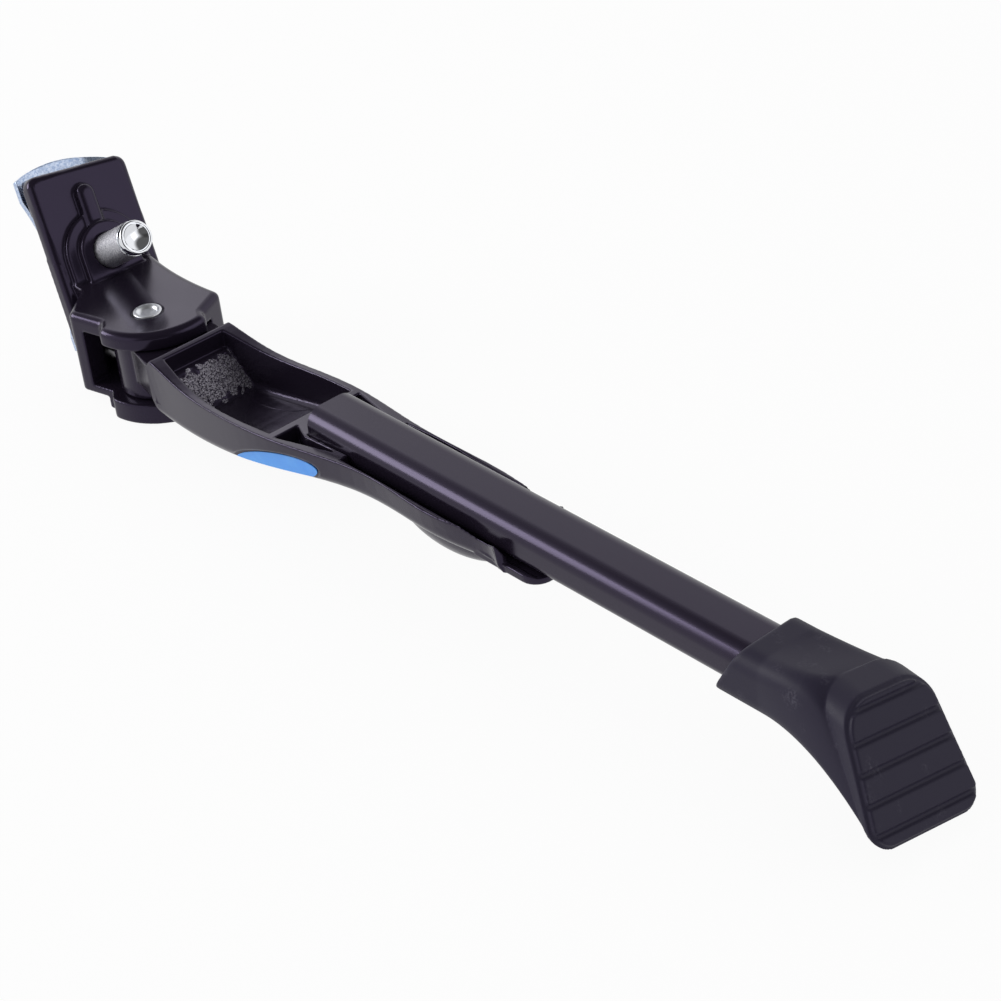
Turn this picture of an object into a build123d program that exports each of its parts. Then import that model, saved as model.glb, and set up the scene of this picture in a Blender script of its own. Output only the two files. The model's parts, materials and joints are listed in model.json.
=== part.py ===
"""Adjustable centre-mount bicycle kickstand, leg deployed, lying with its hinge pin upright."""

import os
from math import cos, radians, sin, sqrt

from build123d import *

# Frame while modelling: pin axis along Z at x = y = 0, leg along +X, underside of the lower ear at z = 0.
# At the end every piece is shifted so that the origin is the bottom centre of the whole stand.

# Clevis and hinge
UPPER_EAR = 5.0          # thickness of the ears
LOWER_EAR = 6.2
SHOULDER_UP = 3.6        # underside of the side walls above the underside of the lower ear
EAR_GAP = 17.0           # space between the ears
EAR_RADIUS = 19.0        # front edge of the ears
EAR_CENTRE = (-3.5, 4.2)
EAR_FAR_NOTCH = (-3.25, 1.48)    # notches, from the ends of the front edge
EAR_NEAR_NOTCH = (-3.5, 2.47)
EAR_FAR_CORNER = (6.6, 19.9)     # shoulders and necks of the ears, seen from above
EAR_FAR_HOLLOW = (-12.0, 19.0)
EAR_FAR_NECK = (-30.0, 21.3)
EAR_NEAR_CORNER = (-17.4, -15.0)
EAR_NEAR_NECK = (-26.4, -4.9)
EAR_BACK = -34.0         # ears end inside the plate
EAR_ROUND = 2.0          # upper rim
EAR_CORNER_ROUND = 2.4
EAR_NOTCH_ROUND = 1.2
DISC_FAR = (7.0, 10.0)   # the lower ear's full thickness starts in front of these corners
DISC_NEAR = (-8.2, -10.0)
SIDE_WALL_Y = 13.4       # inner face of the far side wall, the deployed stop
SIDE_WALL_END = 12.0
NEAR_WALL = [(-13.2, -14.0), (-14.2, -8.0), (-21.0, 0.0)]    # inner face of the near side wall
PIN_DIA = 8.0
PIN_CLEAR = 0.05         # radial, pin in knuckle
PIN_PROUD = 0.4          # dished end above the ear
DISH_DIA = 6.0           # dish, at its rim and its floor
DISH_FLOOR_DIA = 4.4
KNUCKLE_RADIUS = 11.0
NECK_WIDTH = 13.0        # knuckle to body, full height
ROOT_NEAR = (4.5, -10.0) # root: the neck's wider upper part, seen from above
ROOT_STOP = 2.2          # start of the face that meets the far side wall
ROOT_FAR = (-4.0, 10.2)
ROOT_END = 18.0          # neck and root end inside the body
ROOT_UP = 5.5            # sides of the root above the underside of the knuckle
KNUCKLE_CLEAR = 0.3      # knuckle to ear, and heel to side wall
CLEVIS_TOP = LOWER_EAR + EAR_GAP + UPPER_EAR

# Clamp: the plate leans away from the pin axis and is turned about the bolt
LEAN = 30.7
TOE = 8.0
BOLT_UP = 5.7            # bolt axis on the face of the boss, above the upper ear
BOLT_AT = (-28.8, 8.8, CLEVIS_TOP + BOLT_UP)
PLATE_WIDTH = 31.6
PLATE_UP = 26.0          # plate above and below the bolt axis
PLATE_DOWN = 28.0
PLATE_THICK = 5.0
PLATE_ROUND = 3.0
PLATE_BEVEL = 1.1
BOSS_RADIUS = 8.75
BOSS_LONG = 10.0         # boss and step below the bolt axis
BOSS_HIGH = 4.4
STEP_RADIUS = 12.3
STEP_LONG = 11.0
STEP_HIGH = 1.9
RIB_OFF = -0.8           # rib beside the bolt axis
RIB_WIDTH = 5.6
RIB_HIGH = 3.6
RIB_ROUND = 1.8
RIB_END = 17.5           # rib nose above the bolt axis
LAND_HIGH = 3.5          # lands on the back that meet the stays
LAND_LONG = 10.5
LAND_MARGIN = 1.5        # plate beyond the lands, each side
CLAMP_GAP = 0.4          # flange of the clamp plate to the lands
CLAMP_WIDTH = 30.0
CLAMP_LOW_WIDTH = 26.4
CLAMP_WAIST = 21.0
CLAMP_UP = 30.0          # clamp plate above and below the bolt axis
CLAMP_DOWN = 26.0
CLAMP_END_RADIUS = 36.0
CLAMP_SIDE = 6.0         # straight sides at its upper and lower end
CLAMP_LOW_SIDE = 4.0
CLAMP_FLAT = 17.0
CLAMP_FOLD = 0.7         # flat narrower inside the folds, each side
CLAMP_DEEP = 2.5
CLAMP_THICK = 2.4
BOLT_DIA = 10.0
BOLT_LONG = 38.0
BOLT_CHAMFER = 1.3
BOLT_CLEAR = 0.06        # radial, bolt in the boss
HEAD_FLATS = 16.0
HEAD_HIGH = 6.4
WASHER_DIA = 20.0
WASHER_THICK = 1.6
WASHER_CLEAR = 0.25      # radial, bolt in washer and clamp plate

# Leg body: x, half width at the rim, rim height, underside height
BODY_STATIONS = [
    (16.0, 13.6, 25.8, 7.0),
    (30.0, 14.3, 23.6, 6.8),
    (48.0, 15.4, 22.7, 8.6),
    (64.0, 15.9, 23.9, 11.5),
    (80.0, 15.0, 25.0, 14.6),
    (98.0, 12.6, 26.2, 16.8),
    (116.0, 11.7, 26.7, 17.5),
    (138.0, 12.0, 26.2, 17.6),
    (159.0, 12.0, 25.8, 17.7),
]
BODY_DRAFT = 1.0         # each side wall leans in by this much
BODY_ROUND = 4.0         # underside edges
HEEL_ROUND = 6.0         # underside of the hinge end, seen from the side
HEEL_SLOPE = 3.0         # its upper edge is bevelled
END_ROUND = 4.0          # ends of the side walls, seen from above
POCKET_START = 20.9
POCKET_MIDDLE = 48.0
POCKET_END = 72.5
RIM_START = 3.7          # rim beside the pocket at those three places
RIM_MIDDLE = 1.6
RIM_END = 1.5
POCKET_DRAFT = 1.2
POCKET_ROUND = 2.5
POCKET_OVER = 9.0        # the pocket's drafted walls are set out from this far above the rim
FLOOR_THICK = 3.5
LIP_THICK = 2.3
LIP_WIDTH = 19.5
LIP_LONG = 11.2          # channel floor past the side walls
LIP_ROUND = 5.0
PARTITION_THICK = 3.0
CHANNEL_GAP = 0.5        # end of the channel to the tube
CHANNEL_WALL = 0.7
CORNER_POCKET_INNER = 6.5    # corner pockets from the middle, in front of the channel
CORNER_POCKET_END = 95.0
CORNER_POCKET_DOWN = 1.0 # floor below the tube
CORNER_POCKET_TIP = (2.0, 0.4)
GUTTER_START = 99.0      # chamfered groove between tube and rim
GUTTER_UP = 1.0
GUTTER_SIZE = (3.6, 6.0)
SPRING_BORE_DIA = 7.0
SPRING_END = 21.5
MOUND_LONG = 10.5        # rough slope that closes the spring bore
MOUND_FLAT = 1.5
MOUND_WIDE = 24.0        # its sides end inside the walls
MOUND_HIGH = 20.3
PLUNGER_LONG = 7.0
PLUNGER_CLEAR = 0.1      # radial, in the bore
PLUNGER_LIFT = 0.4       # nose to pin
SPRING_WIRE = 0.9
SPRING_TURNS = 5
KEEL_AT = 130.0
KEEL_SIZE = (22.0, 8.0, 10.0)
KEEL_UP = 0.5            # its middle above the underside
LOCK_DIA = 6.0
LOCK_LONG = 10.0
LOCK_SOCKET = 3.0
LOCK_CLEAR = 0.05        # radial, screw in keel
LOCK_GAP = 0.1           # screw point to tube

# Leg tube
TUBE_WIDTH = 16.0
TUBE_HIGH = 11.0
TUBE_STEP = 1.4          # raised flat on top
TUBE_LEDGE = 0.7         # level ledge between the step and the rounded shoulder
TUBE_SHOULDER = 1.5
TUBE_ROUND = 3.2
TUBE_WALL = 2.1
HOLLOW_ROUND = 1.4
TUBE_OVER = 3.8          # top of the tube above the upper ear
TUBE_TOP = CLEVIS_TOP + TUBE_OVER
TUBE_START = 82.0
TUBE_END = 250.0
TUBE_CLEAR = 0.3         # tube in channel, each side and below
FOOT_CLEAR = 0.05        # tube in foot

# Foot
SLEEVE_SIDE = 2.4        # rubber beside, over and under the tube
SLEEVE_OVER = 1.5
SLEEVE_UNDER = 2.6
SLEEVE_RIM = 232.6       # rim of the sleeve at the height of the tube axis
SLEEVE_SLANT = 31.0
SLEEVE_LONG = 20.0
ELBOW_START = 243.0
BEND_AT = (253.5, 0.0, 25.9)     # middle of the elbow
BEND_TURN = 14.0
BEND_GROW = 0.9
SOLE_UNDER = 8.3         # centre of the sole face, below the top of the upper ear
SOLE_AT = (276.7, 0.5, CLEVIS_TOP - SOLE_UNDER)
SOLE_TOP_WIDTH = 22.8
SOLE_LOW_WIDTH = 30.6
SOLE_LONG = 30.8
SOLE_SKEW = 0.6          # upper edge set towards the near side
SOLE_ROUND = 4.5
SOLE_TOP_ROUND = 7.5
SOLE_PAD = 1.2           # pad that stands on the end cap
PAD_MARGIN = 0.9         # cap beyond the pad
CAP_DEEP = 3.2           # end cap behind the pad, at its middle
CAP_RISE = 4.5           # back of the cap above the top of the pad
CAP_TILT = 9.5
CAP_TOP_WIDTH = 21.6     # back of the cap without its margin
CAP_SKEW = -0.2
CAP_STEP = 0.4           # mould line where the cap meets the elbow
GROOVES = 5
GROOVE_PITCH = 6.5
GROOVE_WIDE = 1.3
GROOVE_DEEP = 0.7
GROOVE_UP = 0.6          # middle groove above the centre of the sole

# Sticker
STICKER_LONG = 37.6
STICKER_HIGH = 7.8       # its lower edge follows the underside of the body
STICKER_THICK = 0.2
STICKER_AT = (72.6, -13.1, 14.8)
STICKER_DOWN = 8.0       # the scallop faces this far below level
STICKER_RISE = 17.5
STICKER_YAW = 4.0
SCALLOP_MARGIN = 1.2

DOWN_LEAN = Vector(sin(radians(LEAN)), 0, -cos(radians(LEAN)))
NORMAL = Vector(cos(radians(LEAN)), 0, sin(radians(LEAN)))
ACROSS = Vector(0, 1, 0) * cos(radians(TOE)) + DOWN_LEAN * sin(radians(TOE))
TUBE_LOW = TUBE_TOP - TUBE_HIGH
TUBE_AXIS = TUBE_LOW + TUBE_HIGH / 2
KNUCKLE_LOW = LOWER_EAR + KNUCKLE_CLEAR
KNUCKLE_HIGH = EAR_GAP - 2 * KNUCKLE_CLEAR
BORE_Z = LOWER_EAR + EAR_GAP / 2
BEYOND = TUBE_END        # cutters reach this far past what they cut


def clamp_plane(height):
    """Plane across the bolt, height above the face of the boss; its y points up the plate."""
    return Plane(Vector(*BOLT_AT) + NORMAL * height, x_dir=ACROSS, z_dir=NORMAL)


def leg_plane(x, z=0.0):
    """Plane across the leg; its x is across and its y is up."""
    return Plane((x, 0, z), x_dir=(0, 1, 0), z_dir=(1, 0, 0))


def polygon(points):
    return make_face(Polyline(*points, close=True))


def ear_face():
    cx, cy = EAR_CENTRE
    near, mid, far = (
        (cx + EAR_RADIUS * cos(radians(a)), cy + EAR_RADIUS * sin(radians(a))) for a in (-87, -36, 15)
    )
    far_notch, near_notch = Vector(*far) + EAR_FAR_NOTCH, Vector(*near) + EAR_NEAR_NOTCH
    outline = make_face([
        Polyline(far, far_notch, EAR_FAR_CORNER),
        ThreePointArc(EAR_FAR_CORNER, EAR_FAR_HOLLOW, EAR_FAR_NECK),
        Polyline(EAR_FAR_NECK, (EAR_BACK, EAR_FAR_NECK[1]), (EAR_BACK, EAR_NEAR_NECK[1]),
                 EAR_NEAR_NECK, EAR_NEAR_CORNER, near_notch, near),
        ThreePointArc(near, mid, far),
    ])

    def corners(*points):
        return [v for v in outline.vertices() if min((v.center() - Vector(*p)).length for p in points) < 1e-3]

    outline = fillet(corners(far, near, EAR_FAR_CORNER, EAR_NEAR_CORNER), EAR_CORNER_ROUND)
    return fillet(corners((far_notch.X, far_notch.Y), (near_notch.X, near_notch.Y)), EAR_NOTCH_ROUND)


def make_bracket():
    face = ear_face()
    upper = Pos(0, 0, LOWER_EAR + EAR_GAP) * extrude(face, UPPER_EAR)
    rim = upper.faces().sort_by(Axis.Z)[-1].edges()
    free = EAR_NEAR_CORNER[0] + EAR_CORNER_ROUND
    upper = fillet([e for e in rim if e.center().X > free], EAR_ROUND)
    shoulder = Pos(0, 0, SHOULDER_UP) * extrude(face, LOWER_EAR - SHOULDER_UP)
    disc = extrude(face & Pos(*EAR_CENTRE) * Circle(EAR_RADIUS), LOWER_EAR)
    disc -= extrude(polygon([
        DISC_FAR, (BEYOND, DISC_FAR[1]), (BEYOND, BEYOND), (-BEYOND, BEYOND), (-BEYOND, -BEYOND),
        (DISC_NEAR[0], -BEYOND), DISC_NEAR,
    ]), LOWER_EAR)
    inner_far = polygon([
        (-BEYOND, SIDE_WALL_Y), (SIDE_WALL_END, SIDE_WALL_Y), (SIDE_WALL_END, BEYOND), (-BEYOND, BEYOND),
    ])
    inner_near = polygon([
        (-BEYOND, -BEYOND), (NEAR_WALL[0][0], -BEYOND), *NEAR_WALL, (-BEYOND, NEAR_WALL[-1][1]),
    ])
    wall_high = LOWER_EAR + EAR_GAP - SHOULDER_UP
    walls = Pos(0, 0, SHOULDER_UP) * extrude((face & inner_far) + (face & inner_near), wall_high)
    lug = upper + shoulder + disc + walls
    behind = clamp_plane(-BOSS_HIGH - PLATE_THICK / 2) * Rectangle(BEYOND, BEYOND)
    lug -= extrude(behind, -BEYOND)
    blank = RectangleRounded(PLATE_WIDTH, PLATE_UP + PLATE_DOWN, PLATE_ROUND)
    middle = (PLATE_UP - PLATE_DOWN) / 2
    plate = extrude(clamp_plane(-BOSS_HIGH) * Pos(0, middle) * blank, -PLATE_THICK)
    front = plate.faces().sort_by(Axis((0, 0, 0), NORMAL))[-1]
    lug += chamfer(front.edges(), PLATE_BEVEL)

    def tombstone(radius, long, high):
        outline = Circle(radius) + Pos(0, -long / 2) * Rectangle(2 * radius, long)
        return extrude(clamp_plane(-BOSS_HIGH) * outline, high)

    lug += tombstone(STEP_RADIUS, STEP_LONG, STEP_HIGH) + tombstone(BOSS_RADIUS, BOSS_LONG, BOSS_HIGH)
    rib = Pos(RIB_OFF, RIB_END / 2) * Rot(0, 0, 90) * SlotOverall(RIB_END + RIB_WIDTH, RIB_WIDTH)
    rib = extrude(clamp_plane(-BOSS_HIGH) * rib, RIB_HIGH)
    crest = rib.faces().sort_by(Axis((0, 0, 0), NORMAL))[-1]
    lug += fillet(crest.edges(), RIB_ROUND)
    back = clamp_plane(-BOSS_HIGH - PLATE_THICK)
    for y in (PLATE_UP - LAND_LONG / 2, -PLATE_DOWN + LAND_LONG / 2):
        lug += extrude(back * Pos(0, y) * Rectangle(PLATE_WIDTH - 2 * LAND_MARGIN, LAND_LONG), -LAND_HIGH)
    lug -= extrude(clamp_plane(0) * Circle(BOLT_DIA / 2 + BOLT_CLEAR), BEYOND, both=True)
    return lug - extrude(Circle(PIN_DIA / 2), BEYOND, both=True)


CLAMP_BACK = -(BOSS_HIGH + PLATE_THICK + LAND_HIGH + CLAMP_GAP)
CLAMP_REAR = CLAMP_BACK - CLAMP_DEEP - CLAMP_THICK


def make_clamp_plate():
    half, flat = CLAMP_WIDTH / 2, CLAMP_FLAT / 2
    inner = CLAMP_BACK - CLAMP_DEEP
    section = polygon([
        (-half, CLAMP_BACK), (-half, CLAMP_BACK - CLAMP_THICK), (-flat, CLAMP_REAR), (flat, CLAMP_REAR),
        (half, CLAMP_BACK - CLAMP_THICK), (half, CLAMP_BACK), (flat - CLAMP_FOLD, inner),
        (CLAMP_FOLD - flat, inner),
    ])
    bolt = clamp_plane(0)
    along = Plane(bolt.origin, x_dir=ACROSS, z_dir=-bolt.y_dir)
    pressed = extrude(along * section, 2 * CLAMP_UP, both=True)
    low, waist = CLAMP_LOW_WIDTH / 2, CLAMP_WAIST / 2

    def corner_height(end, half_width):
        return end - CLAMP_END_RADIUS + sqrt(CLAMP_END_RADIUS**2 - half_width**2)

    up, down = corner_height(CLAMP_UP, half), -corner_height(CLAMP_DOWN, low)
    outline = make_face([
        ThreePointArc((-half, up), (0, CLAMP_UP), (half, up)),
        Line((half, up), (half, up - CLAMP_SIDE)),
        ThreePointArc((half, up - CLAMP_SIDE), (waist, 0), (low, down + CLAMP_LOW_SIDE)),
        Line((low, down + CLAMP_LOW_SIDE), (low, down)),
        ThreePointArc((low, down), (0, -CLAMP_DOWN), (-low, down)),
        Line((-low, down), (-low, down + CLAMP_LOW_SIDE)),
        ThreePointArc((-low, down + CLAMP_LOW_SIDE), (-waist, 0), (-half, up - CLAMP_SIDE)),
        Line((-half, up - CLAMP_SIDE), (-half, up)),
    ])
    pressed &= extrude(bolt * outline, -BEYOND)
    return pressed - extrude(bolt * Circle(BOLT_DIA / 2 + WASHER_CLEAR), -BEYOND)


def make_bolt_washer():
    ring = Circle(WASHER_DIA / 2) - Circle(BOLT_DIA / 2 + WASHER_CLEAR)
    return extrude(clamp_plane(CLAMP_REAR) * ring, -WASHER_THICK)


def make_clamp_bolt():
    under_head = CLAMP_REAR - WASHER_THICK
    shank = extrude(clamp_plane(under_head) * Circle(BOLT_DIA / 2), BOLT_LONG)
    tip = shank.faces().sort_by(Axis((0, 0, 0), NORMAL))[-1]
    shank = chamfer(tip.edges(), BOLT_CHAMFER)
    hexagon = RegularPolygon(HEAD_FLATS / 2, 6, major_radius=False, rotation=30)
    return shank + extrude(clamp_plane(under_head) * hexagon, -HEAD_HIGH)


def make_hinge_pin():
    pin = extrude(Circle(PIN_DIA / 2), CLEVIS_TOP + PIN_PROUD)
    dish = Cone(DISH_FLOOR_DIA / 2, DISH_DIA / 2, 2 * PIN_PROUD)
    return pin - Pos(0, 0, CLEVIS_TOP) * dish


def body_section(x, wide, top, low):
    base = wide - BODY_DRAFT
    face = polygon([(-wide, top), (-base, low), (base, low), (wide, top)])
    corners = face.vertices().sort_by(Axis.Y)[:2]
    return leg_plane(x) * fillet(corners, BODY_ROUND)


def body_blank():
    return loft([body_section(*s) for s in BODY_STATIONS])


def body_at(x):
    """Half width, rim height and underside height of the body between two stations."""
    for a, b in zip(BODY_STATIONS, BODY_STATIONS[1:]):
        if a[0] <= x <= b[0]:
            t = (x - a[0]) / (b[0] - a[0])
            return [p + t * (q - p) for p, q in zip(a[1:], b[1:])]
    return list(BODY_STATIONS[-1][1:])


def pocket_section(x, rim):
    wide, top, low = body_at(x)
    half, over = wide - rim, top + POCKET_OVER
    base, floor = half - POCKET_DRAFT, low + FLOOR_THICK
    face = polygon([(-half, over), (-base, floor), (base, floor), (half, over)])
    return leg_plane(x) * fillet(face.vertices().sort_by(Axis.Y)[:2], POCKET_ROUND)


def make_leg_body():
    body = body_blank()
    (heel_x, _, heel_top, _), (end_x, end_wide, _, end_low) = BODY_STATIONS[0], BODY_STATIONS[-1]
    lowest = min(low for _, _, _, low in BODY_STATIONS)
    slope_low = heel_top - HEEL_SLOPE
    side = polygon([
        (heel_x, slope_low), (heel_x, lowest), (end_x, lowest), (end_x, slope_low + end_x - heel_x),
    ])
    heel = side.vertices().sort_by(Axis.Y)[:2].sort_by(Axis.X)[:1]
    body &= extrude(Plane.XZ * fillet(heel, HEEL_ROUND), BEYOND, both=True)
    knuckle = Circle(KNUCKLE_RADIUS) + Rectangle(ROOT_END, NECK_WIDTH, align=(Align.MIN, Align.CENTER))
    body += Pos(0, 0, KNUCKLE_LOW) * extrude(knuckle, KNUCKLE_HIGH)
    stop_y = SIDE_WALL_Y - KNUCKLE_CLEAR
    root = polygon([ROOT_NEAR, (ROOT_END, -stop_y), (ROOT_END, stop_y), (ROOT_STOP, stop_y), ROOT_FAR])
    body += Pos(0, 0, KNUCKLE_LOW + ROOT_UP) * extrude(root, KNUCKLE_HIGH - ROOT_UP)
    lip_face = Rectangle(LIP_WIDTH, LIP_THICK, align=(Align.CENTER, Align.MAX))
    for side in (-1, 1):
        # the round starts a little outside the wall, so that it meets the wall at an angle
        middle = Pos(end_x - END_ROUND, side * (end_wide - END_ROUND + END_ROUND / 20))
        corner = Rectangle(2 * END_ROUND, 2 * END_ROUND, align=(Align.MIN, Align.MIN if side > 0 else Align.MAX))
        body -= extrude(middle * (corner - Circle(END_ROUND)), BEYOND)
    lip = extrude(leg_plane(end_x - LIP_LONG, TUBE_LOW) * lip_face, 2 * LIP_LONG)
    tip = lip.faces().sort_by(Axis.X)[-1]
    body += fillet(tip.edges().filter_by(Axis.Z), LIP_ROUND)
    body += Pos(KEEL_AT, 0, end_low + KEEL_UP) * scale(Sphere(1), by=KEEL_SIZE)
    rims = [(POCKET_START, RIM_START), (POCKET_MIDDLE, RIM_MIDDLE), (POCKET_END, RIM_END)]
    body -= loft([pocket_section(x, rim) for x, rim in rims])
    foot_z = body_at(POCKET_START)[2] + FLOOR_THICK
    sunk_x, sunk_z = POCKET_START - FLOOR_THICK / 3, foot_z - FLOOR_THICK / 3
    mound = polygon([
        (sunk_x, sunk_z), (sunk_x, MOUND_HIGH), (POCKET_START + MOUND_FLAT, MOUND_HIGH),
        (POCKET_START + MOUND_LONG, foot_z), (POCKET_START + MOUND_LONG, sunk_z),
    ])
    body += extrude(Plane.XZ * mound, MOUND_WIDE / 2, both=True)
    half = TUBE_WIDTH / 2 + TUBE_CLEAR
    channel = Rectangle(2 * half, BEYOND, align=(Align.CENTER, Align.MIN))
    channel_start = TUBE_START - CHANNEL_GAP
    body -= extrude(leg_plane(channel_start, TUBE_LOW - TUBE_CLEAR) * channel, BEYOND)
    low, high = TUBE_LOW + GUTTER_UP, TUBE_LOW + GUTTER_UP + GUTTER_SIZE[1]
    flare = half + GUTTER_SIZE[0]
    gutter = polygon([(-half, low), (-flare, high), (flare, high), (half, low)])
    body -= extrude(leg_plane(GUTTER_START) * gutter, BEYOND)
    for side in (-1, 1):
        inner = half + CHANNEL_WALL
        start = POCKET_END + PARTITION_THICK
        corner = polygon([
            (start, side * CORNER_POCKET_INNER), (start, side * (body_at(start)[0] - RIM_END)),
            (CORNER_POCKET_END, side * (inner + CORNER_POCKET_TIP[1])),
            (CORNER_POCKET_END - CORNER_POCKET_TIP[0], side * inner), (channel_start, side * inner),
        ])
        body -= Pos(0, 0, TUBE_LOW - CORNER_POCKET_DOWN) * extrude(corner, BEYOND)
    body -= extrude(leg_plane(0, BORE_Z) * Circle(SPRING_BORE_DIA / 2), SPRING_END)
    body -= extrude(Circle(PIN_DIA / 2 + PIN_CLEAR), CLEVIS_TOP)
    body -= Pos(KEEL_AT, 0, 0) * extrude(Circle(LOCK_DIA / 2 + LOCK_CLEAR), BEYOND)
    scallop = Ellipse(STICKER_LONG / 2 + SCALLOP_MARGIN, STICKER_HIGH / 2 + SCALLOP_MARGIN)
    return body - extrude(sticker_plane() * scallop, STICKER_HIGH)


def sticker_plane():
    """Floor of the scallop on the near side wall, facing outwards."""
    tilt = Rot(0, 0, STICKER_YAW) * Rot(STICKER_DOWN, 0, 0) * Rot(0, -STICKER_RISE, 0)
    level = Location(Plane(origin=(0, 0, 0), x_dir=(1, 0, 0), z_dir=(0, -1, 0)))
    return Plane(Pos(*STICKER_AT) * tilt * level)


def make_sticker():
    oval = extrude(sticker_plane() * Ellipse(STICKER_LONG / 2, STICKER_HIGH / 2), STICKER_THICK)
    return oval & body_blank()


def make_detent_plunger():
    radius = SPRING_BORE_DIA / 2 - PLUNGER_CLEAR
    nose = PIN_DIA / 2 + PIN_CLEAR + PLUNGER_LIFT
    return extrude(leg_plane(nose, BORE_Z) * Circle(radius), PLUNGER_LONG)


def make_detent_spring():
    start = PIN_DIA / 2 + PIN_CLEAR + PLUNGER_LIFT + PLUNGER_LONG
    long = SPRING_END - start - SPRING_WIRE
    radius = SPRING_BORE_DIA / 2 - SPRING_WIRE / 2 - 2 * PLUNGER_CLEAR
    path = Helix(pitch=long / SPRING_TURNS, height=long, radius=radius)
    wire = Plane(path @ 0, z_dir=path % 0) * RegularPolygon(SPRING_WIRE / 2, 6)
    coil = sweep(wire, path=path, is_frenet=True)
    return Pos(start + SPRING_WIRE / 2, 0, BORE_Z) * Rot(0, 90, 0) * coil


def make_lock_screw():
    top = TUBE_LOW - LOCK_GAP
    screw = Pos(KEEL_AT, 0, top - LOCK_LONG) * extrude(Circle(LOCK_DIA / 2), LOCK_LONG)
    socket = extrude(RegularPolygon(LOCK_SOCKET / 2, 6, major_radius=False), LOCK_LONG / 2)
    return screw - Pos(KEEL_AT, 0, top - LOCK_LONG) * socket


def tube_face(grow=0.0):
    """Tube section, its x across and its y up from the underside; grow offsets the outline outwards."""
    half, ledge = TUBE_WIDTH / 2, TUBE_HIGH - TUBE_STEP
    flat = half - TUBE_SHOULDER - TUBE_LEDGE
    side = [(flat, TUBE_HIGH), (flat, ledge), (half, ledge), (half, 0)]
    outline = polygon(side + [(-x, y) for x, y in reversed(side)])
    outline = fillet(outline.vertices().sort_by(Axis.Y)[:2], TUBE_ROUND)
    shoulders = [v for v in outline.vertices() if abs(v.X) > half - 1e-3 and v.Y > ledge - 1e-3]
    outline = fillet(shoulders, TUBE_SHOULDER)
    return offset(outline, grow) if grow else outline


def make_leg_tube():
    long = TUBE_END - TUBE_START
    outer = extrude(leg_plane(TUBE_START, TUBE_LOW) * tube_face(), long)
    high = TUBE_HIGH - TUBE_STEP - 2 * TUBE_WALL
    hollow = Pos(0, TUBE_WALL + high / 2) * RectangleRounded(TUBE_WIDTH - 2 * TUBE_WALL, high, HOLLOW_ROUND)
    return outer - extrude(leg_plane(0, TUBE_LOW) * hollow, TUBE_END)


def sole_plane(back):
    return Plane(Vector(*SOLE_AT) - NORMAL * back, x_dir=ACROSS, z_dir=NORMAL)


def sole_face(grow=0.0, rise=0.0, top_width=SOLE_TOP_WIDTH, skew=SOLE_SKEW):
    top, low, half = top_width / 2, SOLE_LOW_WIDTH / 2, SOLE_LONG / 2
    face = polygon([
        (-top - grow - skew, half + grow + rise), (top + grow - skew, half + grow + rise),
        (low + grow, -half - grow), (-low - grow, -half - grow),
    ])
    face = fillet(face.vertices().sort_by(Axis.Y)[-2:], SOLE_TOP_ROUND + grow)
    return fillet(face.vertices().sort_by(Axis.Y)[:2], SOLE_ROUND + grow)


def sleeve_face(grow=0.0):
    wide = TUBE_WIDTH / 2 + SLEEVE_SIDE + grow
    top, low = TUBE_HIGH / 2 + SLEEVE_OVER + grow, -TUBE_HIGH / 2 - SLEEVE_UNDER - grow
    face = polygon([(-wide, top), (wide, top), (wide, low), (-wide, low)])
    return fillet(face.vertices(), SOLE_ROUND)


def make_foot():
    sleeve = extrude(leg_plane(ELBOW_START, TUBE_AXIS) * sleeve_face(), -SLEEVE_LONG)
    rim = Plane((SLEEVE_RIM, 0, TUBE_AXIS), x_dir=(0, 1, 0),
                z_dir=(-cos(radians(SLEEVE_SLANT)), 0, sin(radians(SLEEVE_SLANT))))
    sleeve -= extrude(rim * Rectangle(BEYOND, BEYOND), BEYOND)
    bend = Plane(BEND_AT, x_dir=ACROSS, z_dir=(cos(radians(BEND_TURN)), 0, sin(radians(BEND_TURN))))
    cap_back = sole_plane(SOLE_PAD + CAP_DEEP) * Rot(-CAP_TILT, 0, 0)
    elbow = loft([
        leg_plane(ELBOW_START, TUBE_AXIS) * sleeve_face(),
        bend * sleeve_face(BEND_GROW),
        cap_back * sole_face(PAD_MARGIN - CAP_STEP, CAP_RISE, CAP_TOP_WIDTH, CAP_SKEW),
    ])
    cap = loft([
        cap_back * sole_face(PAD_MARGIN, CAP_RISE, CAP_TOP_WIDTH, CAP_SKEW),
        sole_plane(SOLE_PAD) * sole_face(PAD_MARGIN),
    ])
    pad = extrude(sole_plane(SOLE_PAD) * sole_face(), SOLE_PAD)
    foot = sleeve + elbow + cap + pad
    for i in range(GROOVES):
        y = GROOVE_UP + (i - (GROOVES - 1) / 2) * GROOVE_PITCH
        foot -= extrude(sole_plane(0) * Pos(0, y) * Rectangle(2 * SOLE_LOW_WIDTH, GROOVE_WIDE), -GROOVE_DEEP)
    return foot - extrude(leg_plane(0, TUBE_LOW) * tube_face(FOOT_CLEAR), TUBE_END + FOOT_CLEAR)


pieces = {
    "bracket": make_bracket(),
    "clamp_plate": make_clamp_plate(),
    "clamp_bolt": make_clamp_bolt(),
    "bolt_washer": make_bolt_washer(),
    "hinge_pin": make_hinge_pin(),
    "leg_body": make_leg_body(),
    "detent_plunger": make_detent_plunger(),
    "detent_spring": make_detent_spring(),
    "leg_tube": make_leg_tube(),
    "lock_screw": make_lock_screw(),
    "foot": make_foot(),
    "sticker": make_sticker(),
}

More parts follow.
